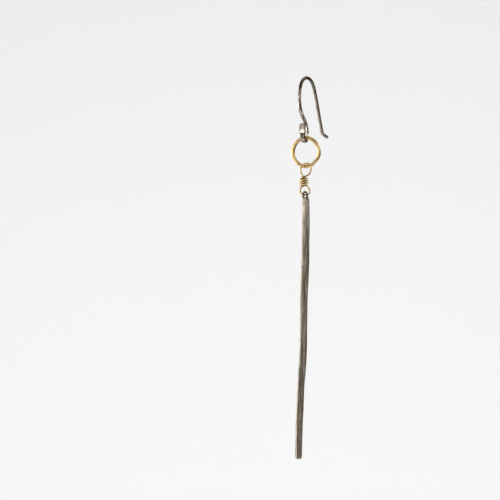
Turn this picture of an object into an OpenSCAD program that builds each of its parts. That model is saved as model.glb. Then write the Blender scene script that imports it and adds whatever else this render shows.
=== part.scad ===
// Long bar earring: a hooked ear wire with a hammered loop, a hammered ring,
// a wire-wrapped link and a hammered bar, each hanging in the one above it.
// Millimetres. The origin is the inside top of the ear wire's arch, where the ear lobe
// carries it. +Z is up, the front of the ear is towards -Y, and the drop hangs on one
// plumb line a little in front of the origin.

/* [Ear wire] */
// Diameter of the ear wire
wire_d = 0.81; // [0.6:0.01:1]
// How far the front leg swells out in front of the top of the arch
front_reach = 4.05; // [3.3:0.05:5]
// Height from the top of the arch down to the bottom of the loop, between centre lines
front_drop = 15.98; // [14:0.02:19]
// How far behind the top of the arch the back leg starts its bend
back_reach = 8.72; // [7:0.02:10]
// Height from the top of the arch down to the start of the back leg's bend
back_drop = 13.1; // [10.5:0.05:15]
// Reach of the bend at the foot of the back leg, along each of its two sides
bend_reach = 0.6; // [0.5:0.05:1]
// Length of the straight tail past the bend
tail_l = 2.45; // [1.8:0.05:3.5]
// Slope of the tail below level, in degrees
tail_slope = 15; // [5:1:35]
// Width of the hammered end of the loop
paddle_w = 1.78; // [1.2:0.02:2.1]
// Thickness of the hammered end of the loop
paddle_t = 0.4; // [0.35:0.01:0.5]
// Height of the hammered end above the bottom of the loop
loop_h = 4.1; // [3.7:0.05:5.2]
// Room between the ring's wire and each side of the loop
loop_play = 0.54; // [0.5:0.01:0.8]
// How far in front of the top of the arch the drop hangs
hang_front = 1.2; // [0.9:0.05:1.5]

/* [Ring] */
// Diameter of the ring along the middle of its wire
ring_d = 6.82; // [5.8:0.02:8.5]
// Diameter of the ring's wire
ring_wire_d = 0.92; // [0.75:0.01:1.1]
// How far the middle of the ring stands to the side of the plumb line
ring_side = 0.24; // [0:0.01:0.4]
// Turn of the ring's face away from the front, in degrees
ring_yaw = 15; // [0:1:18]
// How far along the ring's wire, from the plumb line, the link hangs
hang_side = 0.54; // [0.3:0.02:0.6]

/* [Wrapped link] */
// Diameter of the link's wire
link_wire_d = 0.42; // [0.34:0.01:0.46]
// Height of the upper loop, from the wraps to the top of its bend
upper_loop_h = 3.38; // [3:0.02:4.4]
// Width of the upper loop along the middle of its wire
upper_loop_w = 3; // [2.8:0.05:3.6]
// Turn of the upper loop's plane away from the side, in degrees
upper_loop_yaw = 64; // [54:1:78]
// Height of the wrapped stretch
wrap_h = 2.36; // [2:0.02:3.2]
// How far the wraps stand to the side of the plumb line
wrap_side = 0.22; // [0:0.01:0.3]
// Rise of one turn of the inner wraps
inner_pitch = 0.47; // [0.46:0.01:0.6]
// Rise of one turn of the outer wraps
outer_pitch = 0.57; // [0.56:0.01:0.65]
// How much higher the right side of the outer wraps sits than their left side
outer_tilt = 0.36; // [0:0.02:0.4]
// Height of the lower loop, from the wraps to the bottom of its bend
lower_loop_h = 2.18; // [2:0.02:3]
// Width of the lower loop along the middle of its wire
lower_loop_w = 3.08; // [2.7:0.02:3.6]
// Turn of the lower loop's plane away from the side, in degrees
lower_loop_yaw = 64; // [58:1:80]
// How far the lower loop stands back from the plumb line, in its own plane
lower_loop_side = 0.1; // [0:0.01:0.15]

/* [Bar] */
// Length of the bar
bar_l = 67.3; // [50:0.1:85]
// Width of the bar in its upper half
bar_w = 1.85; // [1.5:0.01:2.2]
// Thickness of the bar in its upper half
bar_t = 1.25; // [1:0.01:1.6]
// Thickness of the flattened head round the eye
head_t = 0.85; // [0.6:0.01:1]
// Diameter of the eye
eye_d = 1.14; // [1.1:0.01:1.4]
// Metal left between the eye and the top of the head
eye_edge = 0.53; // [0.35:0.01:0.7]
// Metal left on each side of the eye
eye_side = 0.22; // [0.2:0.01:0.4]
// How far the eye stands to the side of the plumb line
eye_offset = 0.12; // [0:0.01:0.2]
// Turn of the bar's face away from the front, in degrees
bar_yaw = -8; // [-20:1:10]

/* [Clearances] */
// Gap between a piece and the wire that carries it
gap = 0.16; // [0.14:0.01:0.2]
// Gap between the top of the eye and the wire in it, which crosses the eye at a slant
eye_play = 0.24; // [0.2:0.01:0.3]

/* [Hidden] */

wire_sides = 12;
ring_sides = 12;
link_sides = 8;
bar_sides = 16;
spans_per_row = 3; // steps between two rows of the ear wire's, the ring's and the bar's tables
link_steps = 2; // steps between two points of the link's route

// The route of the ear wire in three tables. Each row of a table is one point of a smooth curve.
// The loop, from its hammered end round the bottom and up to the neck: share of the loop's
// width from its middle, to the back; share of its height; how far it is hammered from round.
loop_rows = [
    [-0.45, 1.00, 1.00],
    [-0.50, 0.86, 1.00],
    [-0.52, 0.70, 0.96],
    [-0.51, 0.50, 0.80],
    [-0.48, 0.30, 0.60],
    [-0.42, 0.12, 0.44],
    [-0.26,-0.01, 0.35],
    [ 0.02,-0.03, 0.30],
    [ 0.28, 0.00, 0.26],
    [ 0.47, 0.16, 0.25],
    [ 0.54, 0.40, 0.22],
    [ 0.54, 0.64, 0.19],
    [ 0.46, 0.86, 0.16],
    [ 0.32, 1.06, 0.12],
];
// The front leg, from the neck up to the top: share of front_reach, share of front_drop,
// how far it is hammered from round.
front_rows = [
    [0.22, 0.701, 0.10],
    [0.35, 0.661, 0.16],
    [0.64, 0.603, 0.20],
    [0.815, 0.549, 0.18],
    [0.935, 0.491, 0.10],
    [0.99, 0.425, 0.04],
    [1.02, 0.348, 0.01],
    [1.01, 0.275, 0.00],
    [0.98, 0.210, 0.00],
    [0.91, 0.157, 0.00],
    [0.81, 0.110, 0.00],
    [0.67, 0.066, 0.00],
    [0.48, 0.030, 0.00],
    [0.25, 0.007, 0.00],
    [0.00,-0.004, 0.00],
];
// The back leg, from the top down to the bend: share of back_reach, share of back_drop.
back_rows = [
    [0.15, 0.006],
    [0.30, 0.044],
    [0.415, 0.113],
    [0.50, 0.205],
    [0.57, 0.306],
    [0.64, 0.410],
    [0.71, 0.520],
    [0.814, 0.700],
    [0.909, 0.855],
    [1.00, 1.000],
];
// The ring: share of its radius and share of its wire's diameter, in equal steps of angle
// from its right side round over the top.
ring_rows = [
    [1.023, 0.94], [0.999, 0.95], [1.006, 1.05], [1.055, 0.98],
    [1.041, 0.98], [1.002, 1.00], [0.965, 1.00], [0.949, 1.07],
    [0.948, 1.13], [0.949, 1.00], [0.958, 0.92], [1.024, 1.00],
    [1.049, 1.00], [1.068, 0.96], [0.963, 0.89], [1.016, 0.95],
];
// A loop of the link, from one foot round its bend to the other: share of the loop's half
// width, share of its height.
upper_rows = [
    [-0.46, 0.04], [-0.72, 0.14], [-0.94, 0.27], [-1.06, 0.42], [-1.00, 0.58], [-0.80, 0.71],
    [-0.53, 0.86], [-0.12, 0.97], [ 0.27, 1.02], [ 0.67, 0.99], [ 1.00, 0.87], [ 1.15, 0.69],
    [ 1.12, 0.52], [ 1.03, 0.36], [ 0.88, 0.23], [ 0.60, 0.10],
];
lower_rows = [
    [-0.72, 0.12], [-0.98, 0.32], [-1.06, 0.58], [-0.88, 0.84], [-0.46, 1.00], [ 0.00, 1.03],
    [ 0.46, 1.00], [ 0.86, 0.86], [ 1.04, 0.62], [ 0.90, 0.38], [ 0.70, 0.16],
];
upper_crown = 8; // the row at the top of the upper loop's bend
// The bar, below its head: share of its length; how far its middle is to the side, as a
// share of its width; share of its width; share of its thickness; turn in degrees.
bar_rows = [
    [0.035, 0.18, 0.97, 0.90,  0],
    [0.070, 0.19, 0.98, 1.00,  4],
    [0.120, 0.20, 1.03, 1.02, 20],
    [0.180, 0.19, 1.05, 1.00, 30],
    [0.240, 0.13, 1.07, 1.02, 27],
    [0.280, 0.07, 1.12, 0.98, 22],
    [0.320, 0.00, 1.14, 1.00, 20],
    [0.380,-0.09, 1.09, 1.02, 23],
    [0.450,-0.18, 1.01, 1.00, 27],
    [0.520,-0.20, 0.99, 1.02, 27],
    [0.590,-0.24, 1.02, 1.00, 25],
    [0.640,-0.36, 1.04, 0.98, 25],
    [0.690,-0.53, 1.06, 1.02, 27],
    [0.740,-0.65, 0.99, 1.02, 28],
    [0.800,-0.75, 1.02, 1.00, 30],
    [0.860,-0.87, 0.97, 0.98, 32],
    [0.920,-0.95, 0.96, 0.95, 34],
    [0.980,-1.00, 0.94, 0.90, 34],
];
// The hammered end of the bar: share of its end chamfer gone down, share of the width left.
bar_end_rows = [[0, 0.98], [0.45, 0.92], [0.8, 0.76], [1, 0.5]];
bar_chamfer = 0.7;
head_steps = [15:15:75]; // angles down the rounded top of the head
paddle_end_rows = [[0.5, 0.2], [0.82, 0.12]]; // the paddle's rounded end: share of its width, share past it

// A smooth curve near the rows of a table: a uniform cubic B-spline through any number of columns.
function basis(t) = [pow(1 - t, 3), 3*t*t*t - 6*t*t + 4, -3*t*t*t + 3*t*t + 3*t + 1, t*t*t] / 6;
function clamped(rows, i) = rows[max(0, min(len(rows) - 1, i))];
function wrapped(rows, i) = rows[(i + len(rows)) % len(rows)];
function blend(a, b, c, d, t) = let (w = basis(t)) w[0]*a + w[1]*b + w[2]*c + w[3]*d;
function open_curve(rows, steps) = [
    for (i = [-1:len(rows) - 1], s = [0:steps - 1])
        blend(clamped(rows, i - 1), clamped(rows, i), clamped(rows, i + 1), clamped(rows, i + 2), s / steps),
    clamped(rows, len(rows) - 1)
];
function closed_curve(rows, steps) = [
    for (i = [0:len(rows) - 1], s = [0:steps - 1])
        blend(wrapped(rows, i - 1), wrapped(rows, i), wrapped(rows, i + 1), wrapped(rows, i + 2), s / steps)
];

// Directions along a route, and a sideways direction that doesn't spin round it.
function unit(v) = v / norm(v);
function heading(path, i) = unit(path[min(len(path) - 1, i + 1)] - path[max(0, i - 1)]);
function square_to(v, along) = unit(v - (v * along) * along);
function side_directions(path, first) = [
    for (
        i = 0, side = square_to(first, heading(path, 0));
        i < len(path);
        i = i + 1, side = i < len(path) ? square_to(side, heading(path, i)) : side
    ) side
];

// A rounded section: half width, half thickness, sides, and an exponent of 1 for an ellipse
// or less for flatter faces.
function soft(v, power) = sign(v) * pow(abs(v), power);
function section(half_w, half_t, sides, power) = [
    for (k = [0:sides - 1]) let (a = 360 * (k + 0.5) / sides)
        [half_w * soft(cos(a), power), half_t * soft(sin(a), power)]
];

// A closed skin over rings of points, with flat ends or joined to itself.
module skin(rings, joined = false) {
    count = len(rings);
    sides = len(rings[0]);
    last = joined ? count - 1 : count - 2;
    function at(i, k) = (i % count) * sides + k % sides;
    walls = [
        for (i = [0:last], k = [0:sides - 1], half = [0, 1]) half == 0
            ? [at(i, k), at(i + 1, k + 1), at(i, k + 1)]
            : [at(i, k), at(i + 1, k), at(i + 1, k + 1)]
    ];
    ends = joined ? [] : [
        [for (k = [0:sides - 1]) at(0, k)],
        [for (k = [sides - 1:-1:0]) at(count - 1, k)]
    ];
    polyhedron(points = [for (ring = rings, p = ring) p], faces = concat(walls, ends));
}

// Ear wire: its loop is as deep as the ring's wire and its play need.
function hammered_w(share) = wire_d + share * (paddle_w - wire_d);
function hammered_t(share) = wire_d + sqrt(share) * (paddle_t - wire_d);
top_z = wire_d / 2;
loop_bottom_z = top_z - front_drop;
loop_w = ring_wire_d + 2*loop_play + (hammered_t(loop_rows[2][2]) + hammered_t(loop_rows[11][2])) / 2;
leg_slope = atan2(
    (back_rows[9][1] - back_rows[8][1]) * back_drop,
    (back_rows[9][0] - back_rows[8][0]) * back_reach
);
leg_along = [cos(leg_slope), -sin(leg_slope)];
tail_along = [cos(tail_slope), -sin(tail_slope)];
bend_from = [back_reach, top_z - back_drop];
tail_from = bend_from + bend_reach * (leg_along + tail_along);
tail_seat = 0.5; // how far the swept wire runs on inside the straight tail
tail_lap = 0.04; // how far the straight tail starts ahead of the first narrowed section
wire_points = concat(
    [for (row = loop_rows) [-hang_front + row[0]*loop_w, loop_bottom_z + row[1]*loop_h, row[2]]],
    [for (row = front_rows) [-row[0]*front_reach, top_z - row[1]*front_drop, row[2]]],
    [for (row = back_rows) [row[0]*back_reach, top_z - row[1]*back_drop, 0]],
    [for (point = [bend_from + bend_reach*leg_along*0.75 + bend_reach*tail_along*0.25]) [point[0], point[1], 0]],
    [for (share = [-0.5, 0, 0.5, 1]) let (point = tail_from + share*tail_seat*tail_along) [point[0], point[1], 0]]
);
wire_path = open_curve(wire_points, spans_per_row);
loop_low = min([for (i = [0:(len(loop_rows) - 1)*spans_per_row]) wire_path[i][1]]);
loop_top_of_bottom = loop_low + hammered_t(loop_rows[7][2]) / 2;

// Ring: it hangs on the bottom of the loop.
ring_polar = closed_curve(ring_rows, spans_per_row);
function ring_angle(i) = 360 * i / len(ring_polar);
ring_flat = [
    for (i = [0:len(ring_polar) - 1])
        ring_polar[i][0] * ring_d/2 * [cos(ring_angle(i)), sin(ring_angle(i))]
];
ring_high = max([for (p = ring_flat) p[1]]);
ring_low = min([for (p = ring_flat) p[1]]);
ring_z = loop_top_of_bottom + gap + ring_wire_d/2 - ring_high;

// Link: it hangs on the bottom of the ring.
upper_bend_z = ring_z + ring_low + ring_wire_d/2 + gap + link_wire_d/2;
wrap_top_z = upper_bend_z - upper_loop_h;
wrap_bottom_z = wrap_top_z - wrap_h;
lower_bend_z = wrap_bottom_z - lower_loop_h;

// Bar: the lower loop carries the top of its eye.
eye_z = lower_bend_z - (eye_d/2 - link_wire_d/2 - eye_play);
head_top_z = eye_z + eye_d/2 + eye_edge;
head_h = eye_edge + eye_d/2;
head_w = eye_d + 2*eye_side;

module at_plumb_line(z = 0, yaw = 0) {
    translate([0, -hang_front, z]) rotate([0, 0, yaw]) children();
}

function wire_ring(at, along, w, t) = [
    for (p = section(w/2, t/2, wire_sides, 0.85))
        [p[0], at[0] + p[1]*along[1], at[1] - p[1]*along[0]]
];

module ear_wire() {
    count = len(wire_path);
    function along(i) = unit([for (c = [0, 1])
        wire_path[min(count - 1, i + 1)][c] - wire_path[max(0, i - 1)][c]]);
    // rounded corners at the very end of the hammered paddle
    paddle_end = [
        for (row = paddle_end_rows)
            wire_ring(
                [for (c = [0, 1]) wire_path[1][c] - along(1)[c] * row[1] * paddle_w],
                along(1), paddle_w * row[0], paddle_t * (0.5 + row[0]/2))
    ];
    swept = [
        for (i = [1:count - 1])
            let (seated = i >= count - 1 - 3*spans_per_row ? 0.9 : 1, hammered = wire_path[i][2])
            wire_ring(wire_path[i], along(i), seated*hammered_w(hammered), seated*hammered_t(hammered))
    ];
    tip_l = wire_d * 0.25;
    color("#8b8378") union() {
        skin(concat(paddle_end, swept));
        translate([0, tail_from[0], tail_from[1]]) rotate([-90 - tail_slope, 0, 0]) {
            translate([0, 0, -tail_lap]) cylinder(h = tail_l - tip_l + tail_lap, d = wire_d, $fn = 48);
            translate([0, 0, tail_l - tip_l]) cylinder(h = tip_l, d1 = wire_d, d2 = wire_d*0.6, $fn = 48);
        }
    }
}

module ring() {
    count = len(ring_flat);
    rings = [
        for (i = [0:count - 1])
            let (
                along = unit(ring_flat[(i + 1) % count] - ring_flat[(i + count - 1) % count]),
                out = [along[1], -along[0]],
                r = ring_polar[i][1] * ring_wire_d / 2
            )
            [for (p = section(r, r, ring_sides, 0.9))
                [ring_side + ring_flat[i][0] + p[0]*out[0], p[1], ring_flat[i][1] + p[0]*out[1]]]
    ];
    color("#c49b5f") at_plumb_line(ring_z, ring_yaw) skin(rings, joined = true);
}

// The link's route: the inner wraps from their lower end up, the upper loop, the stem down
// through the wraps, the lower loop, and the outer wraps back up.
wrap_turn = 45; // angle between two points of the wraps
inner_from = -153; // where the inner wraps leave the upper loop
outer_from = 60; // where the outer wraps leave the lower loop
outer_high = 26; // the side on which the outer wraps sit higher
inner_r = (link_wire_d + 0.03) * 3 / (2 + cos(wrap_turn));
outer_r = 2 * inner_r;
inner_count = floor((wrap_h - 1.6*link_wire_d) / inner_pitch * 360/wrap_turn);
outer_count = floor((wrap_h - 0.95*link_wire_d) / outer_pitch * 360/wrap_turn);
stem_at = [-wrap_side, 0, 0];
function round_at(r, a, z) = stem_at + [r*cos(a), r*sin(a), z];
inner_wraps = [
    for (i = [inner_count:-1:0])
        round_at(inner_r, inner_from + i*wrap_turn,
            wrap_top_z - 0.65*link_wire_d - i*wrap_turn/360*inner_pitch)
];
outer_wraps = [
    for (i = [0:outer_count]) let (a = outer_from + i*wrap_turn)
        round_at(outer_r, a,
            wrap_bottom_z + 0.15*link_wire_d + i*wrap_turn/360*outer_pitch + outer_tilt/2*cos(a - outer_high))
];
stem = [for (share = [0, 0.25, 0.5, 0.75, 1]) stem_at + [0, 0, wrap_top_z - share*wrap_h]];
function along_plane(yaw) = [cos(yaw), sin(yaw), 0];
upper_middle = hang_side*along_plane(ring_yaw)
    - upper_rows[upper_crown][0]*upper_loop_w/2*along_plane(upper_loop_yaw);
upper_loop = [
    for (row = upper_rows)
        upper_middle + row[0]*upper_loop_w/2*along_plane(upper_loop_yaw)
            + [0, 0, wrap_top_z + row[1]*upper_loop_h]
];
lower_loop = [
    for (row = lower_rows)
        (lower_loop_side + row[0]*lower_loop_w/2)*along_plane(lower_loop_yaw)
            + [0, 0, wrap_bottom_z - row[1]*lower_loop_h]
];
link_points = concat(inner_wraps, upper_loop, stem, lower_loop, outer_wraps);
link_path = open_curve(link_points, link_steps);

module wrapped_link() {
    sides = side_directions(link_path, [1, 0, 0]);
    rings = [
        for (i = [0:len(link_path) - 1])
            let (side = sides[i], other = cross(heading(link_path, i), side))
            [for (p = section(link_wire_d/2, link_wire_d/2, link_sides, 1))
                link_path[i] + p[0]*side + p[1]*other]
    ];
    color("#c9a76a") at_plumb_line() skin(rings);
}

function bar_ring(z, side, w, t, turn) = [
    for (p = section(w/2, t/2, bar_sides, 0.62))
        [side + p[0]*cos(turn) + p[1]*sin(turn), p[0]*sin(turn) - p[1]*cos(turn), z]
];

module bar() {
    rows = open_curve(bar_rows, spans_per_row);
    head = [
        for (a = head_steps)
            bar_ring(-head_h*(1 - cos(a)), eye_offset, head_w*sin(a), head_t*(0.7 + 0.3*sin(a)), 0)
    ];
    shoulder = [for (z = [head_h, head_h + eye_d/2]) bar_ring(-z, eye_offset, head_w, head_t, 0)];
    body = [
        for (row = rows)
            if (row[0]*bar_l > 1.2*(eye_edge + eye_d) && row[0]*bar_l < bar_l - bar_chamfer)
                bar_ring(-row[0]*bar_l, row[1]*bar_w, row[2]*bar_w, row[3]*bar_t, row[4])
    ];
    foot_row = bar_rows[len(bar_rows) - 1];
    foot = [
        for (row = bar_end_rows)
            bar_ring(-bar_l + bar_chamfer*(1 - row[0]), foot_row[1]*bar_w,
                foot_row[2]*bar_w*row[1], foot_row[3]*bar_t*row[1], foot_row[4])
    ];
    color("#7b7468") at_plumb_line(head_top_z, bar_yaw) difference() {
        skin(concat(head, shoulder, body, foot));
        translate([eye_offset, 0, -eye_edge - eye_d/2]) rotate([90, 0, 0])
            cylinder(h = 3*bar_t, d = eye_d, center = true, $fn = 48);
    }
}

ear_wire();
ring();
wrapped_link();
bar();
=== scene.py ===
# Looks of a long bar earring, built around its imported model.
# Blender works in metres here, and the tables below are in millimetres.
import math
import random

import bmesh
import bpy
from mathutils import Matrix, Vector


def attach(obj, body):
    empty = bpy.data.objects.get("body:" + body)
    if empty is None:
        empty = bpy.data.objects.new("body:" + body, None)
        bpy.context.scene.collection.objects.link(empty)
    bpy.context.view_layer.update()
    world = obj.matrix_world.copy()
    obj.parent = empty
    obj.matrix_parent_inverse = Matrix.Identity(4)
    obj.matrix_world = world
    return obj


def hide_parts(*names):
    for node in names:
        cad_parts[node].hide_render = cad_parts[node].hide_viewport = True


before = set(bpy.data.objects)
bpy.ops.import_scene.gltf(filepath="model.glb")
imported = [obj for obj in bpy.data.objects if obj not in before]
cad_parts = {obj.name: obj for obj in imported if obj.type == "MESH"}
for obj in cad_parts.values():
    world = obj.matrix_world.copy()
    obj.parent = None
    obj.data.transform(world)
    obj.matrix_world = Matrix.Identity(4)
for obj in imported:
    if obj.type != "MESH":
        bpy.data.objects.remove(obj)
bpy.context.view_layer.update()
mm = 0.001
hangFront = 1.2       # the drop hangs this far in front of the top of the arch
upright = (0, 0, 1)


# shared mesh helpers

def splineWeights(t):
    return ((1 - t)**3 / 6, (3*t**3 - 6*t*t + 4) / 6, (-3*t**3 + 3*t*t + 3*t + 1) / 6, t**3 / 6)


def smoothRows(rows, steps, closed=False):
    # a cubic curve near the rows of a table, whatever its columns are
    count = len(rows)
    pick = (lambda i: rows[i % count]) if closed else (lambda i: rows[max(0, min(count - 1, i))])
    out = []
    for i in (range(count) if closed else range(-1, count)):
        four = [pick(i + k - 1) for k in range(4)]
        for s in range(steps):
            weights = splineWeights(s / steps)
            out.append([sum(w * row[c] for w, row in zip(weights, four)) for c in range(len(rows[0]))])
    if not closed:
        out.append(list(rows[-1]))
    return out


def mix(a, b, t):
    return a + (b - a) * t


def smooth(low, high, x):
    t = max(0.0, min(1.0, (x - low) / (high - low)))
    return t * t * (3 - 2*t)


def roundedSection(halfWide, halfThick, sides, power):
    # power 1 is an ellipse, less is flatter on its faces
    points = []
    for k in range(sides):
        a = 2 * math.pi * (k + 0.5) / sides
        c, s = math.cos(a), math.sin(a)
        x, y = math.copysign(abs(c)**power, c), math.copysign(abs(s)**power, s)
        points.append((halfWide * x, halfThick * y))
    return points


def skinMesh(name, rings, closed=False):
    # one closed skin over rings of points in millimetres
    bm = bmesh.new()
    rows = [[bm.verts.new(Vector(p) * mm) for p in ring] for ring in rings]
    sides = len(rows[0])
    for i in range(len(rows) if closed else len(rows) - 1):
        a, b = rows[i], rows[(i + 1) % len(rows)]
        for k in range(sides):
            bm.faces.new((a[k], a[(k + 1) % sides], b[(k + 1) % sides], b[k]))
    if not closed:
        for ring in (rows[0], rows[-1]):
            middle = bm.verts.new(sum((v.co for v in ring), Vector()) / sides)
            for k in range(sides):
                bm.faces.new((ring[k], ring[(k + 1) % sides], middle))
    bmesh.ops.recalc_face_normals(bm, faces=bm.faces)
    mesh = bpy.data.meshes.new(name)
    bm.to_mesh(mesh)
    bm.free()
    mesh.shade_smooth()
    piece = bpy.data.objects.new(name, mesh)
    bpy.context.scene.collection.objects.link(piece)
    return piece


def hammerBlows(piece, blows):
    # each blow flattens the metal round its place down to a plane just under the surface
    mesh = piece.data
    struck = [0.0] * len(mesh.vertices)
    for place, facing, across, along, run, depth in blows:
        place, facing, run = Vector(place), Vector(facing).normalized(), Vector(run).normalized()
        for v in mesh.vertices:
            away = v.co / mm - place
            if abs(away.x) + abs(away.y) + abs(away.z) > 2.2 * (along + across):
                continue
            height = away.dot(facing) + depth
            if height <= 0:
                continue
            lengthwise = away.dot(run)
            sideways = (away - run * lengthwise).length
            reach = (lengthwise / along)**2 + (sideways / across)**2
            near = 1 / (1 + reach**3)
            v.co -= facing * height * near * mm
            struck[v.index] = max(struck[v.index], min(1.0, height * near / depth))
    layer = mesh.attributes.new("struck", "FLOAT", "POINT")
    for i, amount in enumerate(struck):
        layer.data[i].value = amount
    mesh.update()


def surfaceAt(piece, place, facing):
    # the outermost point of a piece near a place, looking along a direction
    best, bestHeight = None, -1e9
    facing = Vector(facing).normalized()
    for v in piece.data.vertices:
        away = v.co / mm - Vector(place)
        height = away.dot(facing)
        if (away - facing * height).length < 0.25 and height > bestHeight:
            best, bestHeight = v.co / mm, height
    return best


# the ear wire: one drawn silver wire, hammered at its loop

earWire = {
    "wireD": 0.81, "frontReach": 4.05, "frontDrop": 15.98, "backReach": 8.72, "backDrop": 13.1,
    "bendReach": 0.6, "tailL": 2.45, "tailSlope": 15, "paddleW": 1.78, "paddleT": 0.4,
    "loopH": 4.1, "loopW": 2.52, "sides": 32, "steps": 9,
    # share of the loop's width from its middle to the back, share of its height, hammered share
    "loop": [
        (-0.45, 1.00, 1.00), (-0.485, 0.84, 1.00), (-0.51, 0.67, 0.94), (-0.52, 0.50, 0.80),
        (-0.48, 0.30, 0.60), (-0.42, 0.12, 0.44), (-0.26, -0.01, 0.35), (0.02, -0.03, 0.30),
        (0.28, 0.00, 0.26), (0.47, 0.16, 0.25), (0.54, 0.40, 0.22), (0.54, 0.64, 0.19),
        (0.46, 0.86, 0.16), (0.32, 1.06, 0.12)],
    # share of the front reach, share of the front drop, hammered share
    "front": [
        (0.22, 0.701, 0.10), (0.35, 0.661, 0.16), (0.64, 0.603, 0.20), (0.815, 0.549, 0.18),
        (0.935, 0.491, 0.10), (0.99, 0.425, 0.04), (1.02, 0.348, 0.01), (1.01, 0.275, 0.0),
        (0.98, 0.210, 0.0), (0.91, 0.157, 0.0), (0.81, 0.110, 0.0), (0.67, 0.066, 0.0),
        (0.48, 0.030, 0.0), (0.25, 0.007, 0.0), (0.00, -0.004, 0.0)],
    # share of the back reach, share of the back drop
    "back": [
        (0.15, 0.006), (0.30, 0.044), (0.415, 0.113), (0.50, 0.205), (0.57, 0.306), (0.64, 0.410),
        (0.71, 0.520), (0.814, 0.700), (0.909, 0.855), (1.00, 1.000)],
    # the rounding of the paddle's end, in shares of its width, and of the tail's tip
    "endReach": 0.19, "tipReach": 0.19, "tipRoom": 0.18,
    # how much painted shade, in the black patina's colour, lies over the arch, and the heights where it
    # starts and where it is full
    "patinaAndShadeMost": 0.6, "patinaAndShadeFromZ": -5.5, "patinaAndShadeFullZ": -1.0,
    # two light blows on the paddle: height over the loop's foot, side
    "blows": [(1.3, 0.2), (0.9, -0.1)], "blowAcross": 0.50, "blowAlong": 0.40, "blowDepth": 0.018,
    # the neck's flats, a left and a right one at each place: height, how far back
    "flats": [(-12.0, -0.26), (-12.9, -0.15), (-13.8, -0.14)], "flatAlong": 0.6, "flatDepth": 0.05,
    "flatLeft": 0.30, "flatRight": 0.34,
}


def makeEarWire(w):
    top = w["wireD"] / 2
    bottom = top - w["frontDrop"]
    last, before = w["back"][-1], w["back"][-2]
    leg = Vector(((last[0] - before[0]) * w["backReach"], (before[1] - last[1]) * w["backDrop"]))
    leg.normalize()
    slope = math.radians(w["tailSlope"])
    tail = Vector((math.cos(slope), -math.sin(slope)))
    bend = Vector((w["backReach"], top - w["backDrop"]))
    tailFrom = bend + (leg + tail) * w["bendReach"]
    corner = bend + leg * w["bendReach"] * 0.75 + tail * w["bendReach"] * 0.25
    straight = [tailFrom + tail * (w["tailL"] - w["tipRoom"]) * share
                for share in (-0.1, 0.0, 0.1, 0.3, 0.6, 0.9, 1.0)]
    rows = [(-hangFront + a * w["loopW"], bottom + b * w["loopH"], h) for a, b, h in w["loop"]]
    rows += [(-a * w["frontReach"], top - b * w["frontDrop"], h) for a, b, h in w["front"]]
    rows += [(a * w["backReach"], top - b * w["backDrop"], 0) for a, b in w["back"]]
    rows += [(corner.x, corner.y, 0)] + [(p.x, p.y, 0) for p in straight]
    path = smoothRows(rows, w["steps"])[3:]

    def ringAt(i, wide, thick, power, shift=0.0):
        a, b = path[max(0, i - 1)], path[min(len(path) - 1, i + 1)]
        along = Vector((b[0] - a[0], b[1] - a[1])).normalized()
        y, z = path[i][0] + along.x * shift, path[i][1] + along.y * shift
        return [(px, y + pt * along.y, z - pt * along.x)
                for px, pt in roundedSection(wide / 2, thick / 2, w["sides"], power)]

    rings = []
    for i, (y, z, hammered) in enumerate(path):
        wide = w["wireD"] + hammered * (w["paddleW"] - w["wireD"])
        thick = w["wireD"] + math.sqrt(max(0.0, hammered)) * (w["paddleT"] - w["wireD"])
        power = 1 - 0.55 * smooth(0.1, 0.8, hammered)
        if i == 0:      # the paddle's end, rounded at its corners
            reach = w["endReach"] * w["paddleW"]
            for u in [1.0, 0.97, 0.9, 0.8, 0.66, 0.5, 0.32, 0.15]:
                bow = math.sqrt(1 - u * u)
                endWide, endThick = wide * (0.52 + 0.48*bow), thick * (0.5 + 0.5*bow)
                rings.append(ringAt(0, endWide, endThick, power, -u * reach))
        rings.append(ringAt(i, wide, thick, power))
    for u in [0.3, 0.55, 0.75, 0.9, 0.98]:       # the filed, rounded tip
        size = w["wireD"] * math.sqrt(1 - u * u) * 0.98
        rings.append(ringAt(len(path) - 1, size, size, 1.0, u * w["tipReach"]))
    piece = skinMesh("earWire", rings)

    # painted shade over the top of the arch, in the black patina's colour, full above the higher height and
    # gone below the lower
    layer = piece.data.attributes.new("patinaAndShade", "FLOAT", "POINT")
    for v in piece.data.vertices:
        share = smooth(w["patinaAndShadeFromZ"], w["patinaAndShadeFullZ"], v.co.z / mm)
        layer.data[v.index].value = w["patinaAndShadeMost"] * share
    return piece


def strikeEarWire(piece, w):
    random.seed(11)
    blows = []
    for height, side in w["blows"]:
        height += w["wireD"]/2 - w["frontDrop"]
        place = surfaceAt(piece, (side, -w["frontReach"], height), (0, -1, 0))
        if place is not None:
            facing = (random.uniform(-0.16, 0.16), -1, random.uniform(-0.12, 0.12))
            blows.append((place, facing, w["blowAcross"], w["blowAlong"], upright, w["blowDepth"]))
    for z, y in w["flats"]:
        for place, facing, across in (((-0.2, y + 0.05, z), (-0.5, -1, 0.10), w["flatLeft"]),
                                      ((0.42, y + 0.22, z), (1, -0.7, 0.10), w["flatRight"])):
            blows.append((place, facing, across, w["flatAlong"], upright, w["flatDepth"]))
    hammerBlows(piece, blows)


earWirePiece = makeEarWire(earWire)
strikeEarWire(earWirePiece, earWire)
print("ear wire made")


# the ring: round gold-filled wire, closed and hammered

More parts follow.
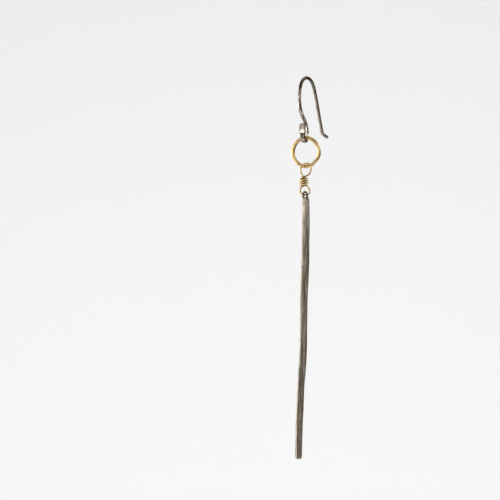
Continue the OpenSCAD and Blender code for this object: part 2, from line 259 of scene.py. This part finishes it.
ring = {
    "ringD": 6.82, "wireD": 0.92, "side": 0.24, "yaw": 15, "middleZ": -18.2867, "sides": 36, "steps": 14,
    # share of the radius, share of the wire's diameter, from the right side round over the top
    "rows": [
        (1.023, 0.94), (0.999, 0.95), (1.006, 1.05), (1.055, 0.98), (1.041, 0.98), (1.002, 1.00),
        (0.965, 1.00), (0.949, 1.07), (0.948, 1.13), (0.949, 1.00), (0.958, 0.92), (1.024, 1.00),
        (1.049, 1.00), (1.068, 0.96), (0.963, 0.89), (1.016, 0.95)],
    "section": 0.94,       # a little squarer than round
    "flats": 24, "flatTilt": 28, "tiltVaries": 9,
    "flatAcross": 0.44, "flatAlong": (0.6, 0.9), "flatDepth": 0.06,
    "blows": 90, "blowAcross": 0.36, "blowAlong": 0.55, "blowDepth": 0.022,
}


def makeRing(r):
    table = smoothRows(r["rows"], r["steps"], closed=True)
    yaw = math.radians(r["yaw"])
    ahead, out = Vector((math.cos(yaw), math.sin(yaw), 0)), Vector((-math.sin(yaw), math.cos(yaw), 0))
    middle = Vector((0, -hangFront, r["middleZ"])) + ahead * r["side"]
    spots = []
    for i, (share, wire) in enumerate(table):
        a = 2 * math.pi * i / len(table)
        radius = share * r["ringD"]/2
        spots.append((radius * math.cos(a), radius * math.sin(a), wire * r["wireD"]/2))
    rings, frames = [], []
    for i, (x, z, size) in enumerate(spots):
        x0, z0, _ = spots[i - 1]
        x1, z1, _ = spots[(i + 1) % len(spots)]
        along = Vector((x1 - x0, z1 - z0)).normalized()
        outward = ahead * along.y + Vector((0, 0, -along.x))
        centre = middle + ahead * x + Vector((0, 0, z))
        section = roundedSection(size, size, r["sides"], r["section"])
        rings.append([centre + outward * px + out * py for px, py in section])
        frames.append((centre, outward, ahead * along.x + Vector((0, 0, along.y)), size))
    piece = skinMesh("hammeredRing", rings, closed=True)
    blows = []
    for k in range(r["flats"]):
        spot = int((k + random.uniform(0.1, 0.9)) * len(frames) / r["flats"])
        centre, outward, run, size = frames[spot]
        for face in (-1, 1):
            tilt = math.radians(r["flatTilt"] + random.uniform(-r["tiltVaries"], r["tiltVaries"]))
            facing = outward * math.sin(tilt) + out * face * math.cos(tilt)
            tilted = facing + run * random.uniform(-0.07, 0.07)
            along = random.uniform(*r["flatAlong"])
            depth = r["flatDepth"] * random.uniform(0.7, 1.2)
            blows.append((centre + facing * size, tilted, r["flatAcross"], along, run, depth))
    for k in range(r["blows"]):
        spot = int((k + random.uniform(0, 0.9)) * len(frames) / r["blows"]) % len(frames)
        centre, outward, run, size = frames[spot]
        a = random.choice((0, 0, 1, -1, 1.9, -1.9, 3.1)) * 0.8 + random.uniform(-0.35, 0.35)
        facing = outward * math.cos(a) + out * math.sin(a)
        tilted = facing + run * random.uniform(-0.1, 0.1)
        blows.append((centre + facing * size, tilted, r["blowAcross"] * random.uniform(0.8, 1.2),
                      r["blowAlong"] * random.uniform(0.8, 1.3), run,
                      r["blowDepth"] * random.uniform(0.5, 1.2)))
    hammerBlows(piece, blows)
    return piece


ringPiece = makeRing(ring)
print("ring made")


# the wrapped link: one thin gold-filled wire

link = {
    "wireD": 0.42, "upperBendZ": -21.0304, "upperH": 3.38, "upperW": 3.0, "upperYaw": 64, "crown": 0.27,
    "wrapH": 2.36, "wrapSide": 0.22, "innerPitch": 0.47, "outerPitch": 0.57, "outerTilt": 0.36,
    "lowerH": 2.18, "lowerW": 3.08, "lowerYaw": 64, "lowerSide": 0.1, "hangSide": 0.54,
    "turn": 45, "innerFrom": -153, "outerFrom": 60, "outerHigh": 26, "outerTurns": 3.375,
    "sides": 22, "steps": 8,
    "endRounding": [(0.94, 0.03), (0.8, 0.06)],      # share of the size, shares of the wire past the end
    # share of the half width, share of the height, from one foot of the loop round to the other
    "upper": [
        (-0.46, 0.04), (-0.72, 0.14), (-0.94, 0.27), (-1.06, 0.42), (-1.00, 0.58), (-0.80, 0.71),
        (-0.53, 0.86), (-0.12, 0.97), (0.27, 1.02), (0.67, 0.99), (1.00, 0.87), (1.15, 0.69),
        (1.12, 0.52), (1.03, 0.36), (0.88, 0.23), (0.60, 0.10)],
    "lower": [
        (-0.72, 0.12), (-0.98, 0.32), (-1.06, 0.58), (-0.88, 0.84), (-0.46, 1.00), (0.00, 1.03),
        (0.46, 1.00), (0.86, 0.86), (1.04, 0.62), (0.90, 0.38), (0.70, 0.16)],
}


def makeLink(n):
    wire = n["wireD"]
    wrapTop = n["upperBendZ"] - n["upperH"]
    wrapBottom = wrapTop - n["wrapH"]
    inner = (wire + 0.03) * 3 / (2 + math.cos(math.radians(n["turn"])))
    stemAt = Vector((-n["wrapSide"], 0, 0))

    def flat(degrees, length=1.0):
        a = math.radians(degrees)
        return Vector((math.cos(a), math.sin(a), 0)) * length

    def wrapPoint(radius, degrees, z):
        return stemAt + flat(degrees, radius) + Vector((0, 0, z))

    innerCount = int((n["wrapH"] - 1.6*wire) / n["innerPitch"] * 360 / n["turn"])
    outerCount = int(n["outerTurns"] * 360 / n["turn"])
    points = []
    for i in range(innerCount, -1, -1):
        a = i * n["turn"]
        points.append(wrapPoint(inner, n["innerFrom"] + a, wrapTop - 0.65*wire - a/360*n["innerPitch"]))
    crown = n["crown"] * n["upperW"] / 2
    middle = flat(ring["yaw"], n["hangSide"]) - flat(n["upperYaw"], crown)
    points += [middle + flat(n["upperYaw"], a*n["upperW"]/2) + Vector((0, 0, wrapTop + b*n["upperH"]))
               for a, b in n["upper"]]
    points += [stemAt + Vector((0, 0, wrapTop - share*n["wrapH"])) for share in (0, 0.25, 0.5, 0.75, 1)]
    points += [flat(n["lowerYaw"], n["lowerSide"] + a*n["lowerW"]/2)
               + Vector((0, 0, wrapBottom - b*n["lowerH"])) for a, b in n["lower"]]
    for i in range(outerCount + 1):
        a = n["outerFrom"] + i*n["turn"]
        lift = n["outerTilt"]/2 * math.cos(math.radians(a - n["outerHigh"]))
        risen = i * n["turn"] / 360 * n["outerPitch"]
        points.append(wrapPoint(2*inner, a, wrapBottom + 0.15*wire + risen + lift))
    path = smoothRows([tuple(p) for p in points], n["steps"])[1:-1]      # the doubled end points go
    path = [Vector(p) + Vector((0, -hangFront, 0)) for p in path]
    side = Vector((1, 0, 0))
    rings = []
    for i, p in enumerate(path):
        along = (path[min(len(path) - 1, i + 1)] - path[max(0, i - 1)]).normalized()
        side = (side - along * side.dot(along)).normalized()
        other = along.cross(side)

        def ringOf(size, shift=0.0):
            return [p + along * shift + side * px + other * py
                    for px, py in roundedSection(size, size, n["sides"], 1.0)]

        if i == 0:
            rings += [ringOf(wire/2 * s, -d * wire) for s, d in reversed(n["endRounding"])]
        rings.append(ringOf(wire/2))
        if i == len(path) - 1:
            rings += [ringOf(wire/2 * s, d * wire) for s, d in n["endRounding"]]
    piece = skinMesh("wrappedLink", rings)

    # painted shade in the gaps between the wraps, darkest deep between the strands
    axis = stemAt + Vector((0, -hangFront, 0))
    crest = 2*inner + wire/2
    layer = piece.data.attributes.new("gap", "FLOAT", "POINT")
    for v in piece.data.vertices:
        x, y, z = v.co / mm - axis
        overFoot = smooth(wrapBottom - 0.5*wire, wrapBottom + 0.2*wire, z)
        underTop = 1 - smooth(wrapTop, wrapTop + wire, z)
        deep = 1 - smooth(crest - 0.8*wire, crest - 0.3*wire, math.hypot(x, y))
        layer.data[v.index].value = overFoot * underTop * deep
    return piece


linkPiece = makeLink(link)
print("wrapped link made")


# the bar: forged, hammered silver with a drilled head

bar = {
    "length": 67.3, "wide": 1.85, "thick": 1.25, "headT": 0.85, "yaw": -8, "topZ": -27.9704,
    "eyeD": 1.14, "eyeEdge": 0.53, "eyeSide": 0.22, "eyeOffset": 0.12, "chamfer": 0.7,
    "rimFrom": 0.26, "rimRun": 0.16, "rimOpen": 0.09, "sides": 60, "step": 0.24,
    # share of the length, side shift as a share of the width, width, thickness, turn
    "rows": [
        (0.035, 0.18, 0.97, 0.90, 0), (0.070, 0.19, 0.98, 1.00, 4), (0.120, 0.20, 1.03, 1.02, 20),
        (0.180, 0.19, 1.05, 1.00, 30), (0.240, 0.13, 1.07, 1.02, 27), (0.280, 0.07, 1.12, 0.98, 22),
        (0.320, 0.00, 1.14, 1.00, 20), (0.380, -0.09, 1.09, 1.02, 23), (0.450, -0.18, 1.01, 1.00, 27),
        (0.520, -0.20, 0.99, 1.02, 27), (0.590, -0.24, 1.02, 1.00, 25), (0.640, -0.36, 1.04, 0.98, 25),
        (0.690, -0.53, 1.06, 1.02, 27), (0.740, -0.65, 0.99, 1.02, 28), (0.800, -0.75, 1.02, 1.00, 30),
        (0.860, -0.87, 0.97, 0.98, 32), (0.920, -0.95, 0.96, 0.95, 34), (0.980, -1.00, 0.94, 0.90, 34)],
    "blows": 90, "blowAcross": 0.40, "blowAlong": 3.2, "blowDepth": 0.045,
    # a bevel down the left front edge, deeper towards the foot
    "bevelFrom": 7.0, "bevelStep": 3.4, "bevelAcross": 0.5, "bevelAlong": 3.0, "bevelDepth": (0.03, 0.12),
    "cornerAt": 0.406,       # where a corner lies, as a share of the width and of the thickness
    # small marks the hammer's edge left: distance below the eye, side, size
    "nicks": [(18.1, -0.35, 0.34), (30.4, -0.1, 0.30)],
    # how dark the patina in the nicks, the painted shade over the eye and the painted shade down the head's
    # right edge are
    "nickDark": 0.45, "rimDark": 0.9, "edgeDark": 0.85,
}


def makeBar(b):
    headH, headW = b["eyeEdge"] + b["eyeD"]/2, b["eyeD"] + 2*b["eyeSide"]
    table = smoothRows(b["rows"], 12)
    yaw = math.radians(b["yaw"])
    ahead, back = Vector((math.cos(yaw), math.sin(yaw), 0)), Vector((-math.sin(yaw), math.cos(yaw), 0))
    topAt = Vector((0, -hangFront, b["topZ"]))

    def rowAt(share):
        for lower, upper in zip(table, table[1:]):
            if lower[0] <= share < upper[0]:
                t = (share - lower[0]) / (upper[0] - lower[0])
                return [mix(x, y, t) for x, y in zip(lower, upper)]
        return table[0] if share < table[0][0] else table[-1]

    def ringAt(z, side, wide, thick, turn, power):
        c, s = math.cos(math.radians(turn)), math.sin(math.radians(turn))
        return [topAt + ahead * (side + x*c + y*s) + back * (x*s - y*c) + Vector((0, 0, z))
                for x, y in roundedSection(wide/2, thick/2, b["sides"], power)]

    rings = []
    for a in [3, 7, 12, 18, 25, 33, 42, 51, 60, 69, 78, 86]:
        c, s = math.cos(math.radians(a)), math.sin(math.radians(a))
        rings.append(ringAt(-headH*(1 - c), b["eyeOffset"], headW*s, b["headT"]*(0.7 + 0.3*s), 0, 0.7))
    z = headH
    while z < b["length"] - b["chamfer"]:
        row = rowAt(z / b["length"])
        t = smooth(headH + 0.3, 2.3, z)      # the head runs out into the bar
        rings.append(ringAt(-z, mix(b["eyeOffset"], row[1]*b["wide"], t), mix(headW, row[2]*b["wide"], t),
                            mix(b["headT"], row[3]*b["thick"], t), row[4]*t, mix(0.7, 0.6, t)))
        z += b["step"]
    foot = b["rows"][-1]
    for u in [0.0, 0.2, 0.38, 0.54, 0.67, 0.78, 0.87, 0.94, 0.985, 1.0]:
        share = 0.4 + 0.58 * math.sqrt(1 - u*u)
        z = -b["length"] + b["chamfer"]*(1 - u)
        rings.append(ringAt(z, foot[1]*b["wide"], foot[2]*b["wide"]*share, foot[3]*b["thick"]*share,
                            foot[4], mix(0.6, 0.8, u)))
    piece = skinMesh("hammeredBar", rings)

    def sectionAt(below):
        # middle, directions and half sizes of the bar this far below its top
        row = rowAt(below / b["length"])
        turned = math.radians(row[4])
        flat = ahead * math.cos(turned) + back * math.sin(turned)
        thin = back * math.cos(turned) - ahead * math.sin(turned)
        centre = topAt + ahead * row[1]*b["wide"] + Vector((0, 0, -below))
        return centre, flat, thin, row[2]*b["wide"]/2, row[3]*b["thick"]/2

    random.seed(5)
    blows = []
    for k in range(b["blows"]):
        z = 3.0 + (b["length"] - 4.2) * (k + random.uniform(0, 0.9)) / b["blows"]
        centre, flat, thin, halfWide, halfThick = sectionAt(z)
        front = random.choice((-1, -1, -1, 1, 1))
        if random.random() < 0.7:       # on a wide face, a little left or right of its middle
            across = random.choice((-0.5, -0.15, 0.2, 0.5))
            facing = thin * front + flat * (across * 0.5 + random.uniform(-0.08, 0.08))
            place = centre + flat * across * halfWide + thin * front * halfThick
        else:                           # on an edge
            hand = random.choice((-1, 1))
            facing = flat * hand + thin * random.uniform(-0.5, 0.5)
            place = centre + flat * hand * halfWide
        facing = facing + Vector((0, 0, random.uniform(-0.02, 0.02)))
        blows.append((place, facing, b["blowAcross"] * random.uniform(0.7, 1.3),
                      b["blowAlong"] * random.uniform(0.6, 1.5), upright,
                      b["blowDepth"] * random.uniform(0.5, 1.1)))
    below = b["bevelFrom"]
    while below < b["length"] - 1.0:
        centre, flat, thin, halfWide, halfThick = sectionAt(below)
        corner = centre - (flat * halfWide + thin * halfThick) * 2 * b["cornerAt"]
        depth = mix(*b["bevelDepth"], smooth(0.2, 0.7, below / b["length"]))
        facing = flat * -0.75 - thin * 0.66
        blows.append((corner, facing, b["bevelAcross"], b["bevelAlong"], upright, depth))
        below += b["bevelStep"]
    hammerBlows(piece, blows)

    # the drilled eye, its rims eased by the drill and the wire
    eyeAt = topAt + ahead * b["eyeOffset"] + Vector((0, 0, -b["eyeEdge"] - b["eyeD"]/2))
    drill = []
    for i in range(25):
        y = -0.9 + 1.8 * i / 24
        eased = b["rimOpen"] * max(0.0, (abs(y) - b["rimFrom"]) / b["rimRun"])**1.6
        size = b["eyeD"]/2 + eased * (1 if abs(y) < 0.6 else 0.9)
        drill.append([eyeAt + back * y + ahead * size * math.cos(2*math.pi*k/48)
                      + Vector((0, 0, size * math.sin(2*math.pi*k/48))) for k in range(48)])
    drillPiece = skinMesh("drill", drill)
    cut = piece.modifiers.new("eye", "BOOLEAN")
    cut.object, cut.operation, cut.solver = drillPiece, "DIFFERENCE", "EXACT"
    drilled = bpy.data.meshes.new_from_object(piece.evaluated_get(bpy.context.evaluated_depsgraph_get()))
    piece.modifiers.clear()
    piece.data = drilled
    bpy.data.objects.remove(drillPiece)
    drilled.shade_smooth()

    # black patina in the hammer nicks, patina and painted shade inside the eye, and painted shade over the
    # eye and down the head's right edge
    layer = drilled.attributes.new("patinaAndShade", "FLOAT", "POINT")
    for v in drilled.vertices:
        away = v.co / mm - eyeAt
        x, y, z = away.dot(ahead), away.dot(back), away.z
        reach = math.hypot(x, z)
        rim = (1 - smooth(0.62, 1.05, reach)) * smooth(-0.6, 0.2, z + 0.6*x)
        inside = 1 - smooth(0.56, 0.60, reach)
        edge = smooth(0.5, 0.72, x) * (1 - smooth(0.7, 1.5, -z)) * smooth(-0.9, 0.0, -z)
        nick = 0.0
        if y < 0:
            for at, side, size in b["nicks"]:
                apart = math.hypot((z + at) / size, (x - side) / (1.5*size))
                nick = max(nick, b["nickDark"] * (1 - smooth(0.4, 1.0, apart)))
        layer.data[v.index].value = max(b["rimDark"] * rim, inside, b["edgeDark"] * edge, nick)
    return piece


barPiece = makeBar(bar)
print("bar made:", len(barPiece.data.vertices), "points")


# materials

def srgb(code):
    channels = [int(code[i:i + 2], 16) / 255 for i in (1, 3, 5)]
    return tuple(c / 12.92 if c <= 0.04045 else ((c + 0.055) / 1.055)**2.4 for c in channels) + (1.0,)


def addNode(material, kind, inputs=None, stops=(), **settings):
    # stops are the places and colours of a colour ramp
    node = material.node_tree.nodes.new(kind)
    for name, value in settings.items():
        setattr(node, name, value)
    marks = node.color_ramp.elements if stops else []
    while len(marks) < len(stops):
        marks.new(0.5)
    for mark, (at, code) in zip(marks, stops):
        mark.position, mark.color = at, srgb(code)
    for name, value in (inputs or {}).items():
        if isinstance(value, bpy.types.NodeSocket):
            material.node_tree.links.new(value, node.inputs[name])
        else:
            node.inputs[name].default_value = value
    return node


def newMaterial(name):
    material = bpy.data.materials.new(name)
    material.use_nodes = True
    material.node_tree.nodes.clear()
    return material


def stretched(material, acrossMm, alongMm, detail, rough=0.55):
    # noise drawn out along the drop: one feature is acrossMm wide and alongMm long
    place = addNode(material, "ShaderNodeTexCoord")
    scaled = addNode(material, "ShaderNodeMapping", {
        "Vector": place.outputs["Object"],
        "Scale": (1 / (acrossMm*mm), 1 / (acrossMm*mm), 1 / (alongMm*mm))})
    grain = addNode(material, "ShaderNodeTexNoise", {
        "Vector": scaled.outputs["Vector"], "Scale": 1.0, "Detail": detail, "Roughness": rough})
    return grain.outputs["Fac"]


def finishMetal(material, colour, roughness, heights, grazing):
    # heights are (texture, strength, depth in mm) laid over each other; grazing is the low angle's colour
    normal = None
    for texture, strength, depthMm in heights:
        inputs = {"Height": texture, "Strength": strength, "Distance": depthMm*mm}
        if normal is not None:
            inputs["Normal"] = normal
        normal = addNode(material, "ShaderNodeBump", inputs).outputs["Normal"]
    shader = addNode(material, "ShaderNodeBsdfPrincipled", {
        "Base Color": colour, "Metallic": 1.0, "Roughness": roughness, "Normal": normal,
        "Specular Tint": srgb(grazing)})
    addNode(material, "ShaderNodeOutputMaterial", {"Surface": shader.outputs["BSDF"]})
    return material


# the same black is also painted as shade over the ear wire's arch and round the bar's eye
blackPatinaAndShade = "#352c20"       # silver sulphide, where no brush reached it
goldEdge = "#c9b088"          # gold at a low angle, toned down by the hammering


# Sterling silver wire, drawn, blackened and rubbed back: dark grey, with hard bright and black streaks.
def darkenedSilverWire():
    m = newMaterial("darkenedSilverWire")
    patches = stretched(m, 0.9, 1.6, 3)
    rubbed = addNode(m, "ShaderNodeAttribute", attribute_name="struck").outputs["Fac"]
    shade = addNode(m, "ShaderNodeMath", {0: rubbed, 1: 0.3, 2: patches},
                    operation="MULTIPLY_ADD").outputs[0]
    rubbedTone = addNode(m, "ShaderNodeValToRGB", {"Fac": shade}, [
        (0.30, "#5a5349"), (0.5, "#8f877a"), (0.72, "#b5ad9f")]).outputs["Color"]
    # the attribute mixes in the black, as patina and as painted shade over the top of the arch
    patinaAndShade = addNode(m, "ShaderNodeAttribute", attribute_name="patinaAndShade").outputs["Fac"]
    colour = addNode(m, "ShaderNodeMix", {0: patinaAndShade, 6: rubbedTone, 7: srgb(blackPatinaAndShade)},
                     data_type="RGBA").outputs[2]
    rough = addNode(m, "ShaderNodeMapRange", {
        "Value": patches, "To Min": 0.12, "To Max": 0.22}).outputs["Result"]
    scuffs = stretched(m, 0.12, 0.5, 2)       # rubbing marks of about a tenth of a millimetre
    return finishMetal(m, colour, rough, [(scuffs, 0.25, 0.01), (patches, 0.3, 0.03)], "#9a9084")


# Sterling silver bar, forged, blackened and brushed lengthwise: a soft warm grey with long streaks.
def brushedSilverBar():
    m = newMaterial("brushedSilverBar")
    streaks = stretched(m, 0.19, 6.0, 2)
    bands = stretched(m, 0.42, 14.0, 2)
    spots = stretched(m, 0.5, 0.9, 3)
    brush = stretched(m, 0.07, 3.0, 3, 0.65)   # real brush lines are finer, drawn coarser to show
    both = addNode(m, "ShaderNodeMath", {0: streaks, 1: bands}, operation="ADD").outputs[0]
    spread = addNode(m, "ShaderNodeMath", {0: both, 1: 0.5}, operation="MULTIPLY").outputs[0]
    speckled = addNode(m, "ShaderNodeMath", {0: spots, 1: 0.25, 2: spread},
                       operation="MULTIPLY_ADD").outputs[0]
    brushedTone = addNode(m, "ShaderNodeValToRGB", {"Fac": speckled}, [
        (0.48, "#5d564b"), (0.57, "#7a7266"), (0.66, "#958d7e"), (0.76, "#b8b09f")]).outputs["Color"]
    # the attribute mixes in the black: patina in the nicks and the eye, painted shade over the eye and down
    # the head's right edge
    patinaAndShade = addNode(m, "ShaderNodeAttribute", attribute_name="patinaAndShade").outputs["Fac"]
    colour = addNode(m, "ShaderNodeMix", {0: patinaAndShade, 6: brushedTone, 7: srgb(blackPatinaAndShade)},
                     data_type="RGBA").outputs[2]
    rough = addNode(m, "ShaderNodeMapRange", {
        "Value": streaks, "To Min": 0.36, "To Max": 0.50}).outputs["Result"]
    heights = [(brush, 0.5, 0.02), (streaks, 0.35, 0.04), (spots, 0.3, 0.02)]
    return finishMetal(m, colour, rough, heights, "#b0a698")


# 14-carat gold-filled wire, closed into a ring and hammered: warm gold with broad soft facets.
def hammeredGoldFill():
    m = newMaterial("hammeredGoldFill")
    tone = stretched(m, 1.1, 1.1, 2)
    colour = addNode(m, "ShaderNodeValToRGB", {"Fac": tone}, [
        (0.35, "#c6a56c"), (0.6, "#dcc189"), (0.8, "#ead6aa")]).outputs["Color"]
    rough = addNode(m, "ShaderNodeMapRange", {
        "Value": tone, "To Min": 0.27, "To Max": 0.40}).outputs["Result"]
    marks = stretched(m, 0.16, 0.16, 2)
    return finishMetal(m, colour, rough, [(marks, 0.2, 0.015)], goldEdge)


# 14-carat gold-filled wire as drawn, bent with pliers: a little brighter, with faint draw lines.
def drawnGoldFill():
    m = newMaterial("drawnGoldFill")
    tone = stretched(m, 0.5, 0.7, 2)
    gold = addNode(m, "ShaderNodeValToRGB", {"Fac": tone}, [
        (0.3, "#ceae79"), (0.6, "#e2c895"), (0.8, "#ecdab4")]).outputs["Color"]
    # the gaps between the wraps are painted a darker brown gold as painted shade
    gap = addNode(m, "ShaderNodeAttribute", attribute_name="gap").outputs["Fac"]
    colour = addNode(m, "ShaderNodeMix", {0: gap, 6: gold, 7: srgb("#9c7c48")},
                     data_type="RGBA").outputs[2]
    rough = addNode(m, "ShaderNodeMapRange", {
        "Value": tone, "To Min": 0.16, "To Max": 0.28}).outputs["Result"]
    marks = stretched(m, 0.1, 0.1, 2)
    return finishMetal(m, colour, rough, [(marks, 0.2, 0.01)], goldEdge)


dressing = [
    (earWirePiece, "ear_wire", "darkened_silver", darkenedSilverWire()),
    (ringPiece, "ring", "gold_fill", hammeredGoldFill()),
    (linkPiece, "wrapped_link", "gold_fill", drawnGoldFill()),
    (barPiece, "bar", "darkened_silver", brushedSilverBar()),
]
for piece, name, slot, material in dressing:
    piece.data.materials.clear()
    piece.data.materials.append(material)
    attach(piece, name)
    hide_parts(name)
print("pieces dressed")


# camera

camera = {
    "turn": 27.4, "away": 600.0, "frameWide": 125.5,
    "pixel": 0.251, "middlePixel": 250, "originPixel": (306.8, 79.5),
}
turn = math.radians(camera["turn"])
toRight = Vector((math.cos(turn), math.sin(turn), 0))
ahead = Vector((-math.sin(turn), math.cos(turn), 0))
right, down = [camera["middlePixel"] - pixel for pixel in camera["originPixel"]]
middle = (toRight * right - Vector((0, 0, down))) * camera["pixel"]
cameraData = bpy.data.cameras.new("camera")
cameraData.sensor_width = 36
cameraData.lens = 36 * camera["away"] / camera["frameWide"]
cameraData.clip_start = 0.01
cameraObject = bpy.data.objects.new("camera", cameraData)
cameraObject.location = (middle - ahead * camera["away"]) * mm
cameraObject.rotation_euler = (math.radians(90), 0, turn)
bpy.context.scene.collection.objects.link(cameraObject)
bpy.context.scene.camera = cameraObject


# studio: a pale sweep, soft lights and dark cards that give the metal its contrast

studio = {
    "floorZ": -0.60, "sweepFront": -1.4, "sweepBack": 1.0, "sweepRound": 0.5,
    "sweepHigh": 1.6, "sweepWide": 3.2,
    # the paper's colour low down and high up, painted greyer towards the top as painted shade, changing
    # between the two heights
    "paper": "#fbfbfb", "paperHigh": "#f2f2f2", "paleBelow": -0.24, "greyAbove": 0.20,
    "seen": "#f5f5f5", "air": "#ffffff", "airStrength": 0.62, "aimZ": -0.045,
}
# soft lights: degrees to the right of the camera's line, distance, height over the aim, wide, high, watts
lights = [
    ("keyStrip", -53, 0.65, 0.103, 0.30, 0.075, 0.55), ("leftSoftbox", -92, 0.8, 0.10, 1.50, 1.20, 7),
    ("topSoftbox", -10, 0.6, 1.0, 0.9, 0.5, 3), ("sweepLight", 180, 0.45, 1.1, 1.6, 0.6, 3.75),
    ("rightFill", 75, 0.9, 0.42, 1.1, 0.5, 2.6), ("lowStrip", -110, 0.6, -0.04, 0.60, 0.05, 0.9)]
# dark cards bent round the earring: degrees from and to, parts, radius, top, foot,
# where the cloth at its foot begins, and two shades
darkCards = [
    ("frontScreen", -28, 150, 24, 0.7, -0.04, -0.42, 0.60, "#594d3f", "#625546"),
    ("leftFlag", -105, -28, 12, 0.7, -0.010, -0.060, 0.69, "#40362b", "#4a3f33"),
    ("lowFlag", -63, -28, 12, 0.7, -0.060, -0.30, 0.69, "#40362b", "#4a3f33"),
    ("topFlag", -150, 70, 24, 0.42, 0.24, 0.45, 0.02, "#5a4c3a", "#645543")]


def makeSweep(s):
    profile = [(s["sweepFront"], s["floorZ"])]
    for k in range(19):
        a = math.radians(5 * k)
        profile.append((s["sweepBack"] + s["sweepRound"]*math.sin(a),
                        s["floorZ"] + s["sweepRound"]*(1 - math.cos(a))))
    profile.append((s["sweepBack"] + s["sweepRound"], s["sweepHigh"]))
    bm = bmesh.new()
    half = toRight * s["sweepWide"] / 2
    rows = [[bm.verts.new(ahead*d + half*side + Vector((0, 0, z))) for side in (-1, 1)] for d, z in profile]
    for a, b in zip(rows, rows[1:]):
        bm.faces.new((a[0], a[1], b[1], b[0]))
    mesh = bpy.data.meshes.new("paperSweep")
    bm.to_mesh(mesh)
    bm.free()
    mesh.shade_smooth()
    sweep = bpy.data.objects.new("paperSweep", mesh)
    bpy.context.scene.collection.objects.link(sweep)
    m = newMaterial("backgroundPaper")
    # painted shade: the paper is painted greyer towards its top
    height = addNode(m, "ShaderNodeSeparateXYZ", {
        "Vector": addNode(m, "ShaderNodeTexCoord").outputs["Object"]}).outputs["Z"]
    fade = addNode(m, "ShaderNodeMapRange", {
        "Value": height, "From Min": s["paleBelow"], "From Max": s["greyAbove"]}).outputs["Result"]
    fleck = stretched(m, 4, 4, 2)
    flecked = addNode(m, "ShaderNodeMath", {0: fleck, 1: 0.15, 2: fade},
                      operation="MULTIPLY_ADD").outputs[0]
    colour = addNode(m, "ShaderNodeValToRGB", {"Fac": flecked}, [
        (0.05, s["paper"]), (1.1, s["paperHigh"])]).outputs["Color"]
    shader = addNode(m, "ShaderNodeBsdfPrincipled", {"Base Color": colour, "Roughness": 0.9})
    addNode(m, "ShaderNodeOutputMaterial", {"Surface": shader.outputs["BSDF"]})
    mesh.materials.append(m)


def softLight(name, side, distance, up, wide, high, watts):
    data = bpy.data.lights.new(name, "AREA")
    data.shape, data.size, data.size_y, data.energy = "RECTANGLE", wide, high, watts
    light = bpy.data.objects.new(name, data)
    a = math.radians(side)
    aim = Vector((0, 0, studio["aimZ"]))
    light.location = aim + (-ahead * math.cos(a) + toRight * math.sin(a)) * distance + Vector((0, 0, up))
    light.rotation_euler = (aim - light.location).to_track_quat("-Z", "Y").to_euler()
    bpy.context.scene.collection.objects.link(light)


def darkScreen(name, sideFrom, sideTo, parts, radius, topZ, lowZ, clothFrom, shade, shadeTwo):
    # a dark card, and dark cloth inside its foot, which only show in the metal
    bm = bmesh.new()
    rows = []
    for k in range(parts + 1):
        a = math.radians(mix(sideFrom, sideTo, k / parts))
        out = -ahead * math.cos(a) + toRight * math.sin(a)
        rows.append([bm.verts.new(out * d + Vector((0, 0, z)))
                     for d, z in ((radius, topZ), (radius, lowZ), (clothFrom, lowZ))])
    for one, two in zip(rows, rows[1:]):
        for k in (0, 1):
            bm.faces.new((one[k], two[k], two[k + 1], one[k + 1]))
    mesh = bpy.data.meshes.new(name)
    bm.to_mesh(mesh)
    bm.free()
    screen = bpy.data.objects.new(name, mesh)
    bpy.context.scene.collection.objects.link(screen)
    m = newMaterial(name + "Cloth")
    cloth = stretched(m, 6, 6, 2)
    colour = addNode(m, "ShaderNodeValToRGB", {"Fac": cloth}, [
        (0.3, shade), (0.7, shadeTwo)]).outputs["Color"]
    shader = addNode(m, "ShaderNodeBsdfPrincipled", {"Base Color": colour, "Roughness": 1.0})
    addNode(m, "ShaderNodeOutputMaterial", {"Surface": shader.outputs["BSDF"]})
    mesh.materials.append(m)
    screen.visible_camera = screen.visible_diffuse = screen.visible_shadow = False


makeSweep(studio)
for light in lights:
    softLight(*light)
for card in darkCards:
    darkScreen(*card)

# the air is pale to the camera alone, so that the metal has something darker to mirror
air = bpy.data.worlds.new("studioAir")
air.use_nodes = True
air.node_tree.nodes.clear()
lit = addNode(air, "ShaderNodeBackground", {
    "Color": srgb(studio["air"]), "Strength": studio["airStrength"]})
seen = addNode(air, "ShaderNodeBackground", {"Color": srgb(studio["seen"])})
toCamera = addNode(air, "ShaderNodeLightPath").outputs["Is Camera Ray"]
either = addNode(air, "ShaderNodeMixShader", {0: toCamera, 1: lit.outputs[0], 2: seen.outputs[0]})
addNode(air, "ShaderNodeOutputWorld", {"Surface": either.outputs[0]})
bpy.context.scene.world = air
bpy.context.scene.view_settings.view_transform = "Standard"
print("studio lit")
